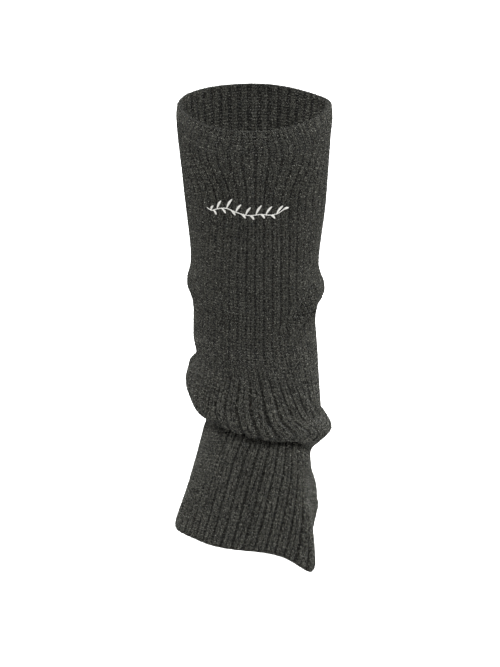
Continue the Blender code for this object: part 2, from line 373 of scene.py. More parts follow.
@dataclass
class RibKnit:
    """The knit: how its ribs and grooves rise and sink from the tube's form."""

    form: ClothForm
    ribs: int = 44
    rise: float = 1.2  # the depth of a groove where depth_at gives one
    backing: float = 1.7  # how much further in than a groove a plain inside would lie
    course: float = 2.6  # from one course of stitches to the next
    groove: float = 0.12  # half of a groove's width, as a share of a rib's pitch
    groove_share: float = 0.55  # how much of a groove's depth that narrow part makes
    shoulder: float = 0.27  # half the width over which a rib rounds down to its grooves
    least: float = 0.3  # the shallowest that a groove gets
    cleft: float = 0.05  # half the line between a rib's two columns of stitches
    cleft_depth: float = 0.1  # as a share of a groove's depth
    inside_hollow: float = 0.7  # how far the inside draws back from a plain one behind each rib
    inside_rise: float = 1.5  # how far it stands out from there behind each groove
    inside_groove: float = 0.26  # half the width over which it does, as a share of a rib's pitch
    depth_at: Pairs = (
        (0.0, 0.6), (12.0, 0.58), (30.0, 0.64), (120.0, 0.68), (196.0, 0.56), (214.0, 0.8),
        (226.0, 1.05), (290.0, 1.05), (367.0, 1.05),
    )  # depth down the cloth, how deep the grooves are there as a share of the rise

    @property
    def pitch(self) -> float:
        """Degrees round the leg from one rib to the next."""
        return 360.0 / self.ribs

    def depth(self, down: Numbers, phase: Numbers) -> Numbers:
        """How deep the grooves are.

        Args:
            down: Depths down the cloth.
            phase: Places across the ribs.

        Returns:
            Shares of `rise`.
        """
        downs, depths = zip(*self.depth_at)
        turned = self.form.turned(down, phase * self.pitch)
        deep = np.interp(down, downs, depths) + self.form.fold_sum("deepen", down, turned)
        return np.maximum(deep, self.least)

    def height(self, phase: Numbers) -> Numbers:
        """The outside's rise across a rib.

        Args:
            phase: Places across the ribs.

        Returns:
            Nought in a groove, and near one on the top of a rib.
        """
        beside = from_groove(phase)
        narrow = self.groove_share * fade(beside, self.groove)
        wide = (1.0 - self.groove_share) * fade(beside, self.shoulder)
        return 1.0 - narrow - wide - self.cleft_depth * fade(0.5 - beside, self.cleft)

    def inside_height(self, phase: Numbers) -> Numbers:
        """The inside's rise: it stands out behind each groove."""
        return fade(from_groove(phase), self.inside_groove)

    def sunk(self, face: Face, down: Numbers, phase: Numbers) -> Numbers:
        """How far the knit lies under the tube's form.

        Args:
            face: The face of the cloth.
            down: Depths down the cloth.
            phase: Places across the ribs, one to a rib, whole numbers being grooves.

        Returns:
            Distances inwards from the form.
        """
        if face is Face.OUTSIDE:
            return self.rise * self.depth(down, phase) * (1.0 - self.height(phase))
        hollow = self.rise + self.backing - self.inside_hollow
        return hollow + self.inside_rise * self.inside_height(phase)

    def surface(self, face: Face, down: Numbers, phase: Numbers, under: float = 0.0) -> Numbers:
        """Points of the knit's own surface, or under it.

        Args:
            face: The face of the cloth.
            down: Depths down the cloth.
            phase: Places across the ribs.
            under: How far under the surface.

        Returns:
            One point for each depth and place.
        """
        angle = phase * self.pitch
        inwards = self.sunk(face, down, phase) + under * face.value
        return self.form.points(down, angle) - inwards[..., None] * self.form.normals(down, angle)

    def pitch_wide(self, down: Numbers, phase: Numbers) -> Numbers:
        """A rib's width in millimetres."""
        sides = [self.form.points(down, (phase + half) * self.pitch) for half in (-0.5, 0.5)]
        return np.linalg.norm(sides[1] - sides[0], axis=-1)


@dataclass(frozen=True)
class Grain:
    """One layer of noise in a finish."""

    size: float  # of its lumps
    detail: float = 2.0  # how many finer layers it holds
    shift: float = 0.0  # moves it, so that a finish's layers don't line up
    strength: float = 1.0


class Value:
    """A shader value that sums, differences and products can be written with."""

    def __init__(self, shader: "Shader", socket: bpy.types.NodeSocket) -> None:
        """Wraps an output socket."""
        self.shader, self.socket = shader, socket

    def maths(self, operation: str, *values: "Value | float") -> "Value":
        """A Math node on this value and others."""
        inputs = dict(enumerate((self, *values)))
        return self.shader.node("Math", {"operation": operation}, inputs)

    def __add__(self, other: "Value | float") -> "Value":
        """Sum."""
        return self.maths("ADD", other)

    __radd__ = __add__

    def __mul__(self, other: "Value | float") -> "Value":
        """Product."""
        return self.maths("MULTIPLY", other)

    __rmul__ = __mul__

    def __sub__(self, other: "Value | float") -> "Value":
        """Difference."""
        return self.maths("SUBTRACT", other)

    def __rsub__(self, other: float) -> "Value":
        """Difference, from a number."""
        return (self * -1.0).maths("ADD", other)

    def band(self, low: float, high: float) -> "Value":
        """A smooth step.

        Args:
            low: Up to where it is nought.
            high: From where it is one.

        Returns:
            The step.
        """
        settings = {"interpolation_type": "SMOOTHSTEP"}
        inputs = {"Value": self, "From Min": low, "From Max": high}
        return self.shader.node("MapRange", settings, inputs)


class Shader:
    """A material under construction."""

    def __init__(self, name: str) -> None:
        """Starts a material with nothing but its output and its surface shader.

        Args:
            name: The material's name.
        """
        self.material = bpy.data.materials.new(name)
        self.material.use_nodes = True
        self.tree = self.material.node_tree
        self.surface = self.tree.nodes["Principled BSDF"]

    def node(self, kind: str, settings: dict, inputs: dict, output: int | str = 0) -> Value:
        """Adds one node.

        Args:
            kind: Its type, without the ShaderNode before it.
            settings: Its own settings, which are set first.
            inputs: Values or links for its sockets, by name or number.
            output: The output wanted.

        Returns:
            That output.
        """
        made = self.tree.nodes.new("ShaderNode" + kind)
        for name, value in settings.items():
            setattr(made, name, value)
        for name, value in inputs.items():
            self.feed(made.inputs[name], value)
        return Value(self, made.outputs[output])

    def feed(self, socket: bpy.types.NodeSocket, value: object) -> None:
        """Gives a socket its value.

        Args:
            socket: An input socket.
            value: A shader value to link to it, or a number or colour to set it to.
        """
        if isinstance(value, Value):
            self.tree.links.new(value.socket, socket)
        else:
            socket.default_value = value

    def place(self) -> Value:
        """The object's own coordinates, in metres."""
        return self.node("TexCoord", {}, {}, "Object")

    def attribute(self, name: str) -> Value:
        """A number stored on the mesh."""
        return self.node("Attribute", {"attribute_name": name}, {}, "Fac")

    def noise(self, *grains: Grain) -> Value:
        """Layers of noise added up.

        Args:
            grains: The layers.

        Returns:
            Their sum, each being around nought and about its strength each way.
        """
        total = None
        for grain in grains:
            at = self.place()
            if grain.shift:
                move = {0: at, 1: (grain.shift, grain.shift, grain.shift)}
                at = self.node("VectorMath", {"operation": "ADD"}, move)
            inputs = {"Vector": at, "Scale": 1.0 / (grain.size * MILLIMETRE), "Detail": grain.detail}
            layer = (self.node("TexNoise", {}, inputs) - NOISE_MIDDLE) * (NOISE_GAIN * grain.strength)
            total = layer if total is None else total + layer
        return total

    def mix(self, share: Value, first: object, second: object) -> Value:
        """A colour between two."""
        inputs = {"Factor": share, FIRST_COLOUR: first, SECOND_COLOUR: second}
        return self.node("Mix", {"data_type": "RGBA"}, inputs, MIXED_COLOUR)

    def scaled(self, colour: object, factor: "Value | float") -> Value:
        """A colour, darker or lighter."""
        settings = {"operation": "SCALE"}
        return self.node("VectorMath", settings, {0: colour, "Scale": factor})

    def courses(self) -> Value:
        """Ridges along the courses, from the knit map.

        Returns:
            Their height, from minus one to one.
        """
        across = self.node("UVMap", {"uv_map": KNIT_MAP}, {})
        down = self.node("SeparateXYZ", {}, {0: across}, "Y")
        return (down * (2.0 * math.pi)).maths("SINE")

    def bump(self, height: Value, distance: float, strength: float) -> Value:
        """A normal from a height, with its distance in millimetres."""
        inputs = {"Height": height, "Distance": distance * MILLIMETRE, "Strength": strength}
        return self.node("Bump", {}, inputs)

    def finish(self, sockets: dict[str, object]) -> bpy.types.Material:
        """Dresses the surface.

        Args:
            sockets: Values for the surface shader's sockets, by name.

        Returns:
            The material.
        """
        for name, value in sockets.items():
            self.feed(self.surface.inputs[name], value)
        return self.material


@dataclass(frozen=True)
class MarledYarn:
    """Charcoal wool yarn spun from dark and light fibres, brushed to a soft, matt surface."""

    name: str = "charcoal_marl"
    dark: Colour = (0.0028, 0.0028, 0.0022, 1.0)
    light: Colour = (0.066, 0.066, 0.054, 1.0)
    fleck: Colour = (0.41, 0.41, 0.36, 1.0)
    warm: Colour = (0.052, 0.030, 0.022, 1.0)
    cool: Colour = (0.020, 0.030, 0.040, 1.0)
    strands: tuple[Grain, ...] = (Grain(0.95, strength=0.95), Grain(0.5, shift=0.3, strength=0.8))
    lightness: float = 0.2  # raises the share of light fibres
    tone_share: float = 0.8  # how much a stitch's own tone adds to it
    ground_tone: float = -0.1  # the tone of the cloth under the stitches, kept darker than theirs as painted shade in the gaps between them
    warm_hints: Grain = Grain(2.2, shift=0.7)
    cool_hints: Grain = Grain(2.6, shift=1.1)
    hint_band: tuple[float, float] = (0.3, 1.3)  # the noise over which a hint of colour comes in
    hint_share: float = 0.4  # how much of its colour it has then
    flecks: Grain = Grain(0.8, 1.0, 1.9)
    fleck_from: float = 0.4  # the noise from which a fleck shows
    fleck_band: float = 0.6  # how much more of it brings the fleck out
    fleck_share: float = 0.8  # how much of its colour it has then
    shades: Grain = Grain(9.0, 3.0, 2.3, 0.12)
    groove_tone: float = 0.7  # painted shade in the grooves: how light the ground's colour stays at their bottom
    groove_band: tuple[float, float] = (0.0, 0.9)  # the rise over which that painted shade fades out
    fibres: tuple[Grain, ...] = (Grain(0.45, 3.0, 3.1), Grain(1.3, shift=3.7))
    course_height: float = 3.0  # of the ground's courses, beside its fibres
    bump_height: float = 0.16
    bump_strength: float = 0.8
    rough_patches: Grain = Grain(3.0, shift=4.1, strength=0.03)
    roughness: float = 0.92
    sheen: float = 0.2
    sheen_roughness: float = 0.4
    sheen_tint: Colour = (0.85, 0.86, 0.84, 1.0)
    specular: float = 0.12

    def material(self, ground: bool = False) -> bpy.types.Material:
        """Builds the yarn's material.

        Args:
            ground: Whether it dresses the cloth under the stitches, whose grooves get painted shade.

        Returns:
            The material.
        """
        shader = Shader(self.name + ("_ground" if ground else ""))
        tone = self.ground_tone if ground else shader.attribute(TONE)
        share = shader.noise(*self.strands) + tone * self.tone_share + self.lightness
        colour = shader.mix(share.band(0.0, 1.0), self.dark, self.light)
        for hints, tint in ((self.warm_hints, self.warm), (self.cool_hints, self.cool)):
            share = shader.noise(hints).band(*self.hint_band) * self.hint_share
            colour = shader.mix(share, colour, tint)
        flecks = shader.noise(self.flecks).band(self.fleck_from, self.fleck_from + self.fleck_band)
        colour = shader.mix(flecks * self.fleck_share, colour, self.fleck)
        shading = shader.noise(self.shades) + 1.0
        height = shader.noise(*self.fibres)
        if ground:
            # painted shade: the ground's colour darkens towards the bottom of each groove, by its rise
            rise = shader.attribute(RISE).band(*self.groove_band)
            shading = shading * (rise * (1.0 - self.groove_tone) + self.groove_tone)
            height = height + shader.courses() * self.course_height
        return shader.finish(
            {
                "Base Color": shader.scaled(colour, shading),
                "Roughness": shader.noise(self.rough_patches) + self.roughness,
                "Normal": shader.bump(height, self.bump_height, self.bump_strength),
                "Sheen Weight": self.sheen,
                "Sheen Roughness": self.sheen_roughness,
                "Sheen Tint": self.sheen_tint,
                "Specular IOR Level": self.specular,
            }
        )


@dataclass(frozen=True)
class EmbroideryThread:
    """Off-white rayon thread with a soft lustre along its twist."""

    name: str = "off_white_thread"
    colour: Colour = (0.90, 0.89, 0.85, 1.0)
    shadow: Colour = (0.60, 0.59, 0.55, 1.0)
    plies: Grain = Grain(0.5)
    ply_band: tuple[float, float] = (-1.2, 0.6)  # the noise over which it turns from shadow to colour
    twist: Grain = Grain(0.3, shift=0.9)
    bump_height: float = 0.08
    bump_strength: float = 0.6
    rough_patches: Grain = Grain(1.5, shift=1.7, strength=0.05)
    roughness: float = 0.42
    sheen: float = 0.25

    def material(self) -> bpy.types.Material:
        """Builds the thread's material.

        Returns:
            The material.
        """
        shader = Shader(self.name)
        lit = shader.noise(self.plies).band(*self.ply_band)
        return shader.finish(
            {
                "Base Color": shader.mix(lit, self.shadow, self.colour),
                "Roughness": shader.noise(self.rough_patches) + self.roughness,
                "Normal": shader.bump(shader.noise(self.twist), self.bump_height, self.bump_strength),
                "Sheen Weight": self.sheen,
            }
        )


@dataclass(frozen=True)
class PalePaper:
    """Matt, pale paper for the floor."""

    name: str = "pale_paper"
    colour: Colour = (0.5, 0.5, 0.495, 1.0)
    roughness: float = 0.85
    rough_change: float = 0.1  # how much rougher its patches are
    patches: float = 3.0  # in a metre

    def material(self) -> bpy.types.Material:
        """Builds the paper's material.

        Returns:
            The material.
        """
        shader = Shader(self.name)
        patch = shader.node("TexNoise", {}, {"Vector": shader.place(), "Scale": self.patches})
        rough = patch * self.rough_change + self.roughness
        return shader.finish({"Base Color": self.colour, "Roughness": rough})


def meshed(name: str, work: bmesh.types.BMesh) -> bpy.types.Mesh:
    """Ends the work on a mesh.

    Args:
        name: The mesh's name.
        work: The mesh under work, which is freed.

    Returns:
        The mesh.
    """
    mesh = bpy.data.meshes.new(name)
    work.to_mesh(mesh)
    work.free()
    return mesh


def added(name: str, data: bpy.types.ID) -> bpy.types.Object:
    """Puts a mesh, a light or a camera in the scene, at the origin.

    Args:
        name: The object's name.
        data: What it holds.

    Returns:
        The object.
    """
    made = bpy.data.objects.new(name, data)
    bpy.context.scene.collection.objects.link(made)
    return made


def finished_piece(name: str, mesh: bpy.types.Mesh, material: bpy.types.Material) -> bpy.types.Object:
    """Makes a smooth-shaded object of a mesh and lets it ride on the leg warmer's body.

    Args:
        name: The piece's name.
        mesh: Its mesh, in metres and in its place.
        material: Its finish.

    Returns:
        The object, at the origin.
    """
    mesh.shade_smooth()
    mesh.materials.clear()
    mesh.materials.append(material)
    piece = added(name, mesh)
    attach(piece, BODY)
    return piece


@dataclass
class KnitWall:
    """The whole cloth as one closed wall: outside, top edge, inside and hem."""

    knit: RibKnit
    finish: bpy.types.Material
    name: str = "rib_knit_cloth"
    phases: tuple[float, ...] = (0.0, 0.09, 0.2, 0.36, 0.5, 0.64, 0.8, 0.91)  # its columns in a rib
    edge_steps: int = 5  # rounds over each edge
    edge_inset: float = 1.4  # how far from the cloth's end its edge starts to turn
    edge_rise: float = 0.3  # how far the edges stand out of their grooves, which also sets the painted groove shade of their ground
    ground: float = 0.4  # how far the wall lies under the knit's surface
    inside_coarser: float = 1.5  # how much wider apart the inside's rounds lie
    spacing: Pairs = (
        (0.0, 1.6), (20.0, 3.4), (130.0, 3.4), (140.0, 2.4), (180.0, 2.6),
        (224.0, 2.2), (236.0, 1.5), (292.0, 1.7), (304.0, 3.2), (367.0, 2.2),
    )  # depth down the cloth, distance between rounds there

    def rounds(self, coarser: float) -> Numbers:
        """Depths of the rounds from the top edge to the hem.

        Args:
            coarser: How much wider than the spacing table the rounds lie.

        Returns:
            The depths, in order.
        """
        downs, steps = zip(*self.spacing)
        depths = [self.edge_inset]
        end = self.knit.form.length - self.edge_inset
        while depths[-1] < end:
            depths.append(depths[-1] + coarser * float(np.interp(depths[-1], downs, steps)))
        return np.interp(depths, (depths[0], depths[-1]), (depths[0], end))

    def edge(self, end: End, phase: Numbers, turn: Numbers, under: float) -> tuple[Numbers, Numbers]:
        """Points on the cloth's rounded edge, which turns from the outside to the inside.

        Args:
            end: The end of the tube.
            phase: Places across the ribs.
            turn: How far round the edge, from nought outside to half a turn in radians inside.
            under: How far under the knit's surface.

        Returns:
            The points, and the ways out of the cloth there.
        """
        form, length = self.knit.form, self.knit.form.length
        edge = np.full(np.shape(phase), end.value * length)
        inset = np.abs(edge - self.edge_inset)
        outer = self.knit.surface(Face.OUTSIDE, inset, phase, under)
        inner = self.knit.surface(Face.INSIDE, inset, phase, under)
        angle = phase * self.knit.pitch
        away = unit(form.points(edge, angle) - form.points(inset, angle))
        middle, arm = (outer + inner) / 2, (outer - inner) / 2
        reach = np.linalg.norm(arm, axis=-1, keepdims=True)
        turn = np.asarray(turn)[..., None]
        out = arm / reach * np.cos(turn) + away * np.sin(turn)
        return middle + out * reach, out

    def rows(self) -> tuple[Numbers, Numbers, Numbers]:
        """Works out the wall's rounds: up the outside, over the top edge, down the inside and back.

        Returns:
            The points, how far each stands out of its groove, and each round's place in courses.
        """
        knit = self.knit
        phase = (np.arange(knit.ribs)[:, None] + np.array(self.phases)).ravel()[None, :]
        outer_down = self.rounds(1.0)[::-1, None]
        inner_down = self.rounds(self.inside_coarser)[:, None]
        outer = knit.surface(Face.OUTSIDE, outer_down, phase, self.ground)
        inner = knit.surface(Face.INSIDE, inner_down, phase, self.ground)
        turns = np.linspace(0.0, np.pi, self.edge_steps + 2)[1:-1, None]
        across = np.repeat(phase, self.edge_steps, axis=0)
        top_edge = self.edge(End.TOP, across, turns, self.ground)[0]
        hem_edge = self.edge(End.HEM, across, turns, self.ground)[0][::-1]
        points = np.concatenate([outer, top_edge, inner, hem_edge])
        # the rise of each point, which the ground's finish turns into painted groove shade
        rise_out = np.repeat(knit.height(phase), len(outer), axis=0)
        rise_in = np.repeat(knit.inside_height(phase), len(inner), axis=0)
        edge_rise = np.full(across.shape, self.edge_rise)
        rise = np.concatenate([rise_out, edge_rise, rise_in, edge_rise])
        moves = np.linalg.norm(np.diff(points[:, 0], axis=0, append=points[:1, 0]), axis=-1)
        return points, rise, np.concatenate([[0.0], np.cumsum(moves)]) / knit.course

    def mesh(self) -> bpy.types.Mesh:
        """Wraps one grid round the wall and closes it on itself.

        Returns:
            The wall's mesh, in metres.
        """
        points, rise, courses = self.rows()
        rows, columns = rise.shape
        work = bmesh.new()
        work.loops.layers.uv.new(BAKE_MAP)
        heights = work.verts.layers.float.new(RISE)
        bmesh.ops.create_grid(work, x_segments=columns, y_segments=rows, size=1.0, calc_uvs=True)
        for vertex in work.verts:  # the grid runs from -1 to 1 both ways
            column = round((vertex.co.x + 1.0) / 2.0 * columns) % columns
            row = round((vertex.co.y + 1.0) / 2.0 * rows) % rows
            vertex.co = points[row, column] * MILLIMETRE
            vertex[heights] = rise[row, column]
        bmesh.ops.remove_doubles(work, verts=work.verts[:], dist=MERGE_DISTANCE)
        mesh = meshed(self.name, work)
        self.add_knit_map(mesh, rows, courses)
        return mesh

    def add_knit_map(self, mesh: bpy.types.Mesh, rows: int, courses: Numbers) -> None:
        """Adds the map that counts ribs across and courses down.

        Args:
            mesh: The wall, with its bake map.
            rows: How many rounds it has.
            courses: Each round's place, counted in courses.
        """
        plain = np.zeros(len(mesh.loops) * 2, np.float32)
        mesh.uv_layers[BAKE_MAP].uv.foreach_get("vector", plain)
        plain = plain.reshape(-1, 2)
        across = plain[:, 0] * self.knit.ribs
        down = np.interp(plain[:, 1] * rows, np.arange(rows + 1), courses)
        layer = mesh.uv_layers.new(name=KNIT_MAP)
        layer.uv.foreach_set("vector", np.stack([across, down], 1).astype(np.float32).ravel())

    def build(self) -> bpy.types.Object:
        """Makes the piece that stands for the plain tube.

        Returns:
            The piece.
        """
        piece = finished_piece(self.name, self.mesh(), self.finish)
        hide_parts(TUBE_NODE)
        return piece


@dataclass
class Lay:
    """Where strands lie: one row for each."""

    start: Numbers
    end: Numbers
    out: Numbers  # the way out of the cloth
    half_width: Numbers  # this and the next two may each be one number for all the strands
    half_height: Numbers
    tone: Numbers  # how light, from nought to one

    def __post_init__(self) -> None:
        """Flattens every array to one row for each strand."""
        count = self.start.size // 3
        for name in ("start", "end", "out"):
            setattr(self, name, getattr(self, name).reshape(-1, 3))
        for name in ("half_width", "half_height", "tone"):
            value = np.asarray(getattr(self, name), float)
            setattr(self, name, np.full(count, value) if value.ndim == 0 else value.ravel())

    @staticmethod
    def together(lays: "list[Lay]") -> "Lay":
        """All the strands of several lays."""
        names = [column.name for column in fields(Lay)]
        return Lay(*(np.concatenate([getattr(lay, name) for lay in lays]) for name in names))


@dataclass
class Strands:
    """A short length of yarn or thread, thick in its middle and drawn in at both ends."""

    sides: int = 4
    shoulder: float = 0.45  # where its full girth ends, as a share of its half length
    overlap: float = 0.12  # how much longer each is than its way, as a share of it
    cell_margin: float = 0.08  # the empty edge of each copy's cell of the bake map, as a share of it

    def one(self) -> bpy.types.Mesh:
        """Makes one.

        Returns:
            Its mesh, two long and two wide, along X with its top towards Z.
        """
        work = bmesh.new()
        work.loops.layers.uv.new(BAKE_MAP)
        bmesh.ops.create_cone(
            work, cap_ends=True, cap_tris=True, segments=self.sides,
            radius1=1.0, radius2=1.0, depth=2.0 * self.shoulder, calc_uvs=True,
        )
        for vertex in work.verts:
            x, y, z = vertex.co
            tip = math.hypot(x, y) < 0.5  # the middle of a cap, not its rim
            vertex.co = (math.copysign(1.0, z) if tip else z, x, y)
        bmesh.ops.recalc_face_normals(work, faces=work.faces[:])
        return meshed("strand", work)

    def mesh(self, name: str, lay: Lay) -> bpy.types.Mesh:
        """Lays one strand for each row.

        Args:
            name: The mesh's name.
            lay: Where they lie, in millimetres.

        Returns:
            The mesh, in metres.
        """
        one, count = self.one(), len(lay.start)
        mesh = self.repeated(one, count, name)
        shape = np.zeros(len(one.vertices) * 3)
        one.vertices.foreach_get("co", shape)
        shape = shape.reshape(1, -1, 3)
        middle, arm = (lay.start + lay.end) / 2, (lay.end - lay.start) / 2 * (1.0 + self.overlap)
        side = unit(np.cross(lay.out, arm)) * lay.half_width[:, None]
        top = unit(np.cross(arm, side)) * lay.half_height[:, None]
        points = middle[:, None] + shape[..., :1] * arm[:, None]
        points = points + shape[..., 1:2] * side[:, None] + shape[..., 2:] * top[:, None]
        mesh.vertices.foreach_set("co", (points * MILLIMETRE).astype(np.float32).ravel())
        stored = mesh.attributes.new(TONE, "FLOAT", "POINT")
        stored.data.foreach_set("value", np.repeat(lay.tone, shape.shape[1]).astype(np.float32))
        self.spread_map(mesh, count)
        bpy.data.meshes.remove(one)
        mesh.update()
        return mesh

    def repeated(self, one: bpy.types.Mesh, count: int, name: str) -> bpy.types.Mesh:
        """Copies one mesh, by an Array modifier.

        Args:
            one: The mesh, which stays.
            count: How many copies.
            name: Their mesh's name.

        Returns:
            One mesh of all the copies, in the same place.
        """
        holder = added(name, one)
        array = holder.modifiers.new("copies", "ARRAY")
        array.count = count
        array.use_relative_offset = False
        array.use_constant_offset = True
        depsgraph = bpy.context.evaluated_depsgraph_get()
        mesh = bpy.data.meshes.new_from_object(holder.evaluated_get(depsgraph), depsgraph=depsgraph)
        bpy.data.objects.remove(holder)
        mesh.name = name
        return mesh

    def spread_map(self, mesh: bpy.types.Mesh, count: int) -> None:
        """Gives each copy its own cell of the bake map.

        Args:
            mesh: The mesh of all the copies.
            count: How many there are.
        """
        layer = mesh.uv_layers[BAKE_MAP]
        uv = np.zeros(len(mesh.loops) * 2, np.float32)
        layer.uv.foreach_get("vector", uv)
        uv = np.clip(uv.reshape(count, -1, 2), 0.0, 1.0)
        across = math.ceil(math.sqrt(count))
        cell = np.stack([np.arange(count) % across, np.arange(count) // across], 1)[:, None]
        margin = self.cell_margin
        uv = (cell + margin + uv * (1.0 - 2.0 * margin)) / across
        layer.uv.foreach_set("vector", uv.astype(np.float32).ravel())


@dataclass(frozen=True)
class Leg:
    """One visible length of a stitch, laid over the cloth."""

    from_rib: float  # across a rib, a whole number being a groove
    to_rib: float
    from_course: float
    to_course: float
    half_width: float  # as a share of a rib's pitch
    half_height: float
    tone: float = 0.0  # how much lighter than the rest; below nought it is painted shade, as on the purl bumps in the grooves


def v_stitch(
    middle: float,
    arm: float,
    half_width: float,
    half_height: float,
    foot: float = 0.025,
    drop: float = 1.05,
) -> tuple[Leg, ...]:
    """The two legs of a knit stitch, the left one first.

    Args:
        middle: Where across a rib its foot stands.
        arm: How far to each side its arms reach.
        half_width: Of each leg, as a share of a rib's pitch.
        half_height: Of each leg.
        foot: How far to each side of the middle its legs end.
        drop: How many courses down its legs reach.

    Returns:
        The legs.
    """
    return tuple(
        Leg(middle + side * arm, middle + side * foot, 0.0, drop, half_width, half_height)
        for side in (-1.0, 1.0)
    )


def purl_bump(
    middle: float,
    tone: float,
    reach: float = 0.13,
    down: float = 0.5,
    half_width: float = 0.08,
    half_height: float = 0.75,
) -> tuple[Leg, ...]:
    """The bump across a purl stitch: the head of the loop, lying across the column.

    Args:
        middle: Where across a rib it stands.
        tone: How much lighter than the rest; below nought it is painted shade, for a bump sunk in its
            groove.
        reach: How far to each side it reaches.
        down: How much of a course down it lies.
        half_width: As a share of a rib's pitch.
        half_height: In millimetres.

    Returns:
        Its one length.
    """
    return (Leg(middle - reach, middle + reach, down, down, half_width, half_height, tone),)


class Pattern(Enum):
    """What one rib shows in each course on each face of the cloth."""

    # the purl bumps' tones below nought are painted shade at the bottoms of the grooves
    OUTSIDE = (
        v_stitch(0.295, 0.105, 0.068, 0.95)
        + v_stitch(0.705, 0.105, 0.068, 0.95)
        + purl_bump(0.0, -0.8)
    )
    INSIDE = (
        v_stitch(-0.145, 0.095, 0.06, 1.2)
        + v_stitch(0.145, 0.095, 0.06, 1.2)
        + purl_bump(0.5, -1.2)
    )


@dataclass
class KnitStitches:
    """The stitches of one face of the cloth, over one stretch of it."""

    knit: RibKnit
    finish: bpy.types.Material
    name: str
    top: float  # where it starts, down the cloth from the top edge
    bottom: float  # where it ends
    seed: int
    face: Face = Face.OUTSIDE
    sink: float = 0.42  # how far the middles of the strands lie under the knit's surface
    uneven: float = 0.1  # how much a strand strays across its rib, as a share of the pitch
    slip: float = 0.14  # how much it strays up or down
    plump: float = 1.0  # how much wider the yarn is where the cloth isn't stretched
    widths: tuple[float, float] = (0.4, 0.95)  # the least and the greatest half width of a strand
    hem_gap: float = 0.6  # how near to the hem a stitch may come
    tone: float = 0.46  # of most stitches, set for each stretch partly as painted light and shade
    run: float = 0.7  # how much a few stitches' tone differs from their neighbours'
    run_length: int = 4  # how many stitches such a run has
    scatter: float = 0.7  # how much one stitch's tone differs from the next one's
    closed_groove: float = 0.8  # the depth from which a groove closes over its purl stitches
    closed_change: float = 0.12  # how much that depth differs from stitch to stitch

    def tones(self, rows: int, columns: int, draw: np.random.RandomState) -> Numbers:
        """How light each stitch is: the yarn's colour runs on for a few stitches along a course.

        Args:
            rows: How many courses.
            columns: How many strands in each.
            draw: The source of random numbers.

        Returns:
            Their tones, from nought to one.
        """
        loose = draw.rand(rows, columns + self.run_length)
        run = sum(loose[:, step : step + columns] for step in range(self.run_length)) / self.run_length
        tone = self.tone + (run - 0.5) * self.run + swing(draw, rows, columns) * self.scatter
        return np.clip(tone, 0.0, 1.0)

    def lay(self) -> Lay:
        """Works out where every strand of the stretch lies.

        Returns:
            The strands, without those that a closed groove hides.
        """
        knit, form = self.knit, self.knit.form
        legs = Pattern[self.face.name].value
        draw = np.random.RandomState(self.seed)
        row = np.arange(self.top, self.bottom, knit.course)[:, None]

        def across(name: str) -> Numbers:
            """One number of every leg of every rib."""
            return np.tile([getattr(leg, name) for leg in legs], knit.ribs)[None, :]

        rib = np.repeat(np.arange(knit.ribs), len(legs))[None, :]
        shape = (len(row), rib.size)
        waver = swing(draw, *shape) * self.uneven
        slip = swing(draw, *shape) * self.slip
        # each leg's own tone is added here, the purl bumps' painted shade among them
        tone = np.clip(self.tones(*shape, draw) + across("tone"), 0.0, 1.0)
        last = form.length - self.hem_gap
        high = np.minimum(row + slip + across("from_course") * knit.course, last)
        low = np.minimum(row + slip + across("to_course") * knit.course, last)
        first, second = rib + across("from_rib") + waver, rib + across("to_rib") + waver
        middle = (first + second) / 2
        closed = self.closed_groove + swing(draw, *shape) * self.closed_change
        shown = (high != low) | (self.face is Face.INSIDE) | (knit.depth(high, middle) < closed)
        high, low, first, second, middle = (each[shown] for each in (high, low, first, second, middle))
        half_width, half_height = (
            np.broadcast_to(across(name), shape)[shown] for name in ("half_width", "half_height")
        )
        start = knit.surface(self.face, high, first, self.sink)
        end = knit.surface(self.face, low, second, self.sink)
        out = form.normals((high + low) / 2, middle * knit.pitch) * self.face.value
        width = np.clip(knit.pitch_wide(high, middle) * half_width * self.plump, *self.widths)
        return Lay(start, end, out, width, half_height, tone[shown])

    def build(self) -> bpy.types.Object:
        """Knits the stretch.

        Returns:
            The piece.
        """
        piece = finished_piece(self.name, Strands().mesh(self.name, self.lay()), self.finish)
        return piece


@dataclass
class EdgeChain:
    """The chain of stitches that closes the cloth along its top edge and its hem."""

    wall: KnitWall
    finish: bpy.types.Material
    name: str = "edge_chains"
    links: int = 4  # for each rib
    rows: tuple[float, ...] = (0.2, 0.5, 0.8)  # where the rows of links lie, as shares of the edge
    slant: float = 0.07  # how far each link leans to both sides of its row
    half_width: float = 0.72
    half_height: float = 0.6
    overlap: float = 0.35
    sink: float = 0.42
    # painted shade: the chains' tone is kept low so that the top edge, which catches the light, doesn't
    # stand out
    tone: float = 0.12
    scatter: float = 0.6  # how much one link's tone differs from the next one's
    seed: int = 31

    def build(self) -> bpy.types.Object:
        """Makes both chains.

        Returns:
            The piece.
        """
        ribs = self.wall.knit.ribs
        draw = np.random.RandomState(self.seed)
        step = 1.0 / self.links
        lays = []
        for end in End:
            for number, share in enumerate(self.rows):
                first = (np.arange(ribs * self.links) + 0.5 * (number % 2)) / self.links
                lean = self.slant * (1.0 if number % 2 else -1.0)
                start, out = self.wall.edge(end, first, np.pi * (share - lean), self.sink)
                stop, out_there = self.wall.edge(end, first + step, np.pi * (share + lean), self.sink)
                tone = np.clip(self.tone + self.scatter * swing(draw, first.size), 0.0, 1.0)
                out = unit(out + out_there)
                lays.append(Lay(start, stop, out, self.half_width, self.half_height, tone))
        mesh = Strands(overlap=self.overlap).mesh(self.name, Lay.together(lays))
        piece = finished_piece(self.name, mesh, self.finish)
        return piece


@dataclass(frozen=True)
class Leaf:
    """One slender leaf of the sprig: a few long stitches side by side."""

    along: float  # where it leaves the stem, as a share of the stem's length
    angle: float  # its lean from +X, the front seen upright
    length: float
    half_width: float = 0.62
    bend: float = 0.5  # how far its middle bows out to the left of its line


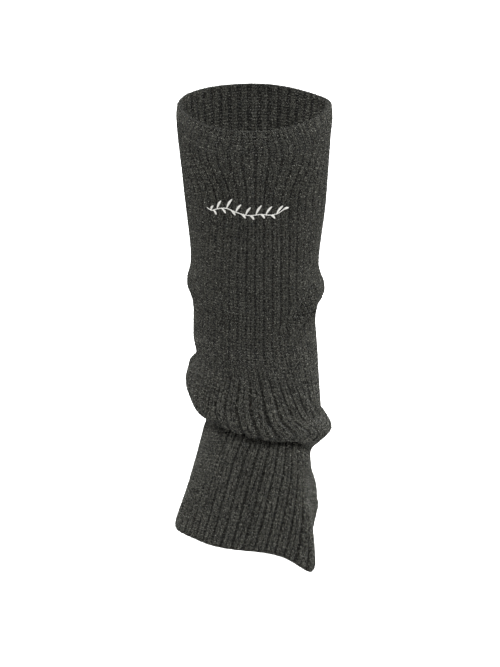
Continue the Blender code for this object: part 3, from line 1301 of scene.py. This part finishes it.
@dataclass
class Sprig:
    """The leafy sprig embroidered across the upper front."""

    form: ClothForm
    finish: bpy.types.Material
    name: str = "embroidered_sprig"
    angle: float = -99.5
    down: float = 68.5
    millimetres_a_degree: float = 1.0
    stem: Pairs = (
        (-32.0, -2.2), (-28.0, -3.4), (-22.0, -1.0), (-14.0, 0.8), (-5.0, -1.8), (5.0, -3.6),
        (14.0, -2.6), (22.0, -3.6), (28.0, -2.4), (32.0, 0.0),
    )  # to the right, up
    leaves: tuple[Leaf, ...] = (
        Leaf(0.06, 58.0, 5.0), Leaf(0.10, -52.0, 4.0), Leaf(0.16, 62.0, 8.5), Leaf(0.22, -46.0, 5.0),
        Leaf(0.29, 60.0, 9.5), Leaf(0.34, -48.0, 5.5), Leaf(0.41, 56.0, 8.0), Leaf(0.47, -44.0, 5.0),
        Leaf(0.53, 58.0, 7.5), Leaf(0.58, -46.0, 4.5), Leaf(0.65, 60.0, 9.0), Leaf(0.71, -48.0, 4.5),
        Leaf(0.77, 54.0, 8.0), Leaf(0.83, -42.0, 4.5), Leaf(0.90, 50.0, 8.0), Leaf(0.99, 14.0, 5.0),
    )
    thread: float = 0.33  # half the thread's thickness
    stem_stitch: float = 2.1  # the length of each
    stem_slant: float = 0.16  # how far each stem stitch starts and ends beside the stem's line
    stem_wider: float = 1.1  # how much wider than the thread it lies
    stem_points: int = 241
    leaf_ends: int = 6  # ends of stitches along each of a leaf's lines
    leaf_taper: float = 1.3  # over one, the leaf is widest past its middle
    above: float = 0.35  # how far over the tops of the ribs the thread lies
    step: float = 0.5  # each way, for the directions of the cloth
    tone: float = 0.5

    def __post_init__(self) -> None:
        """Works out the stem as close points on a smooth line."""
        knots = np.array(self.stem)
        place = length_along(knots)
        slopes = np.gradient(knots, place, axis=0)
        self.line = curved(place, knots, slopes, np.linspace(0.0, place[-1], self.stem_points))

    def on_cloth(self, flat: Numbers) -> tuple[Numbers, Numbers]:
        """Lays points of the flat design on the cloth.

        Args:
            flat: Points, X to the right and Y up, in millimetres from the sprig's middle.

        Returns:
            The points, and the ways out of the cloth there.
        """
        turned = self.angle + flat[:, 0] / self.millimetres_a_degree
        down = self.down - flat[:, 1]
        place, step = self.form.place, self.step
        along = place(down + step, turned) - place(down - step, turned)
        around = place(down, turned + step) - place(down, turned - step)
        out = unit(np.cross(along, around))
        return place(down, turned) + out * self.above, out

    def stitched(self, starts: Numbers, ends: Numbers, wider: float = 1.0) -> Lay:
        """Lays lengths of thread over the cloth.

        Args:
            starts: Where each starts, in the flat design.
            ends: Where each ends.
            wider: How much wider than the thread they are.

        Returns:
            The lengths of thread.
        """
        start, out = self.on_cloth(starts)
        end, _ = self.on_cloth(ends)
        return Lay(start, end, out, self.thread * wider, self.thread, self.tone)

    def stem_lay(self) -> Lay:
        """Stem stitches: short lengths side by side, each starting beside the one before.

        Returns:
            The stitches of the whole stem.
        """
        place = length_along(self.line)
        count = round(place[-1] / self.stem_stitch)
        knots = np.linspace(0.0, place[-1], count + 1)
        points = np.stack([np.interp(knots, place, self.line[:, axis]) for axis in (0, 1)], 1)
        ahead = unit(np.gradient(points, axis=0))
        aside = np.stack([-ahead[:, 1], ahead[:, 0]], 1) * self.stem_slant
        return self.stitched((points + aside)[:-1], (points - aside)[1:], self.stem_wider)

    def leaf_lay(self, leaf: Leaf) -> Lay:
        """The stitches of a leaf: one along its vein and one bowed out to each side.

        Args:
            leaf: The leaf.

        Returns:
            Its lengths of thread.
        """
        base = self.line[round(leaf.along * (len(self.line) - 1))]
        lean = math.radians(leaf.angle)
        ahead = np.array([math.cos(lean), math.sin(lean)])
        aside = np.array([-ahead[1], ahead[0]])
        share = np.linspace(0.0, 1.0, self.leaf_ends)[:, None]
        vein = base + ahead * leaf.length * share + aside * leaf.bend * np.sin(np.pi * share)
        starts, ends = [], []
        for side in (-1.0, 0.0, 1.0):
            edge = vein + aside * side * leaf.half_width * np.sin(np.pi * share**self.leaf_taper)
            starts.append(edge[:-1])
            ends.append(edge[1:])
        return self.stitched(np.concatenate(starts), np.concatenate(ends))

    def build(self) -> bpy.types.Object:
        """Embroiders the sprig.

        Returns:
            The piece.
        """
        lays = [self.stem_lay()] + [self.leaf_lay(leaf) for leaf in self.leaves]
        strands = Strands(sides=6, shoulder=0.74, overlap=0.3)
        return finished_piece(self.name, strands.mesh(self.name, Lay.together(lays)), self.finish)


@dataclass(frozen=True)
class Lamp:
    """One soft square lamp of the studio. Its sizes are in metres."""

    name: str
    at: Place
    size: float  # the length of its sides
    power: float  # in watts
    aim: Place = MIDDLE
    spread: float = 180.0  # how wide its light fans out

    def build(self) -> None:
        """Hangs the lamp."""
        data = bpy.data.lights.new(self.name, "AREA")
        data.shape, data.size, data.energy = "SQUARE", self.size, self.power
        data.spread = math.radians(self.spread)
        lamp = added(self.name, data)
        lamp.location = self.at
        back = Vector(self.at) - Vector(self.aim)
        lamp.rotation_euler = back.to_track_quat("Z", "Y").to_euler()


@dataclass
class Studio:
    """Pale floor and backdrop, soft light, and the camera. Its sizes are in metres."""

    aim: Place = MIDDLE
    distance: float = 2.5
    elevation: float = 22.5
    lens: float = 168.67  # in millimetres, like the sensor
    sensor: float = 36.0
    nearest: float = 0.1
    farthest: float = 50.0
    floor_height: float = -1.2
    floor_radius: float = 9.0
    floor_corners: int = 96
    world_colour: Colour = (1.0, 1.0, 1.0, 1.0)
    world_light: float = 0.16
    lamps: tuple[Lamp, ...] = (
        Lamp("left", (-2.5, 0.1, 0.2), 1.4, 31.0),
        Lamp("right", (2.5, 0.1, 0.1), 1.4, 47.0),
        Lamp("front", (0.1, -3.5, 2.6), 0.9, 163.0),
        Lamp("backdrop", (0.0, 2.9, 0.9), 2.0, 150.0, aim=(0.0, 2.9, -1.2), spread=110.0),
    )

    def camera(self) -> None:
        """Sets the camera up, looking a little down at the front."""
        data = bpy.data.cameras.new("camera")
        data.lens, data.sensor_width = self.lens, self.sensor
        data.clip_start, data.clip_end = self.nearest, self.farthest
        camera = added("camera", data)
        rise = math.radians(self.elevation)
        back = Vector((0.0, -math.cos(rise), math.sin(rise)))
        camera.location = Vector(self.aim) + back * self.distance
        camera.rotation_euler = (math.radians(90.0 - self.elevation), 0.0, 0.0)
        bpy.context.scene.camera = camera

    def world(self) -> None:
        """Fills the studio with a faint, even light."""
        world = bpy.data.worlds.new("studio")
        world.use_nodes = True
        sky = world.node_tree.nodes["Background"]
        sky.inputs["Color"].default_value = self.world_colour
        sky.inputs["Strength"].default_value = self.world_light
        bpy.context.scene.world = world
        bpy.context.scene.view_settings.view_transform = "Standard"

    def floor(self) -> None:
        """Makes the floor, a wide round of pale paper."""
        work = bmesh.new()
        bmesh.ops.create_circle(
            work, cap_ends=True, segments=self.floor_corners, radius=self.floor_radius
        )
        bmesh.ops.translate(work, verts=work.verts[:], vec=(0.0, 0.0, self.floor_height))
        mesh = meshed("floor", work)
        mesh.materials.append(PalePaper().material())
        floor = added("floor", mesh)

    def build(self) -> None:
        """Sets the studio."""
        self.camera()
        self.world()
        self.floor()
        for lamp in self.lamps:
            lamp.build()


def main() -> None:
    """Builds the studio and every piece of the leg warmer, and reports each piece."""
    Studio().build()
    form = ClothForm()
    knit = RibKnit(form)
    yarn = MarledYarn()
    wool = yarn.material()
    loose = MarledYarn(
        "charcoal_marl_loose", lightness=0.02, flecks=Grain(0.6, 1.0, 1.9), fleck_from=0.3, fleck_share=1.0
    ).material()
    wall = KnitWall(knit, yarn.material(ground=True))
    cloth = wall.build()
    slack = {"plump": 1.22, "slip": 0.05}
    # The stretches' tones differ from one to the next and run high inside the tube: partly the yarn's own
    # tone, partly painted light and shade for how unevenly the light falls on them.
    inside = {"face": Face.INSIDE, "tone": 0.95, "scatter": 1.8}
    parts = (
        #                          name            top  bottom seed
        KnitStitches(knit, loose, "stitches_rim", 1.0, 8.0, 10, tone=0.74, scatter=1.2, closed_groove=0.7),
        KnitStitches(knit, wool, "stitches_upper", 8.8, 94.0, 11, tone=0.34, plump=1.15),
        KnitStitches(knit, wool, "stitches_middle", 94.6, 186.0, 12, tone=0.42, plump=1.2),
        KnitStitches(knit, loose, "stitches_fold", 188.2, 276.0, 13, tone=0.42, scatter=1.2, **slack),
        KnitStitches(knit, loose, "stitches_cuff", 276.6, 364.6, 14, tone=0.56, scatter=1.3, **slack),
        KnitStitches(knit, loose, "inside_stitches_top", 1.0, 74.0, 15, **inside),
        KnitStitches(knit, loose, "inside_stitches_hem", 330.0, 364.6, 16, **inside),
        EdgeChain(wall, wool),
    )
    stitches = [part.build() for part in parts]
    sprig = Sprig(form, EmbroideryThread().material()).build()
    for piece in (cloth, *stitches, sprig):
        LOG.info("%s: %d faces", piece.name, len(piece.data.polygons))


if __name__ == "__main__":
    logging.basicConfig(level=logging.INFO, format="%(message)s")
    main()
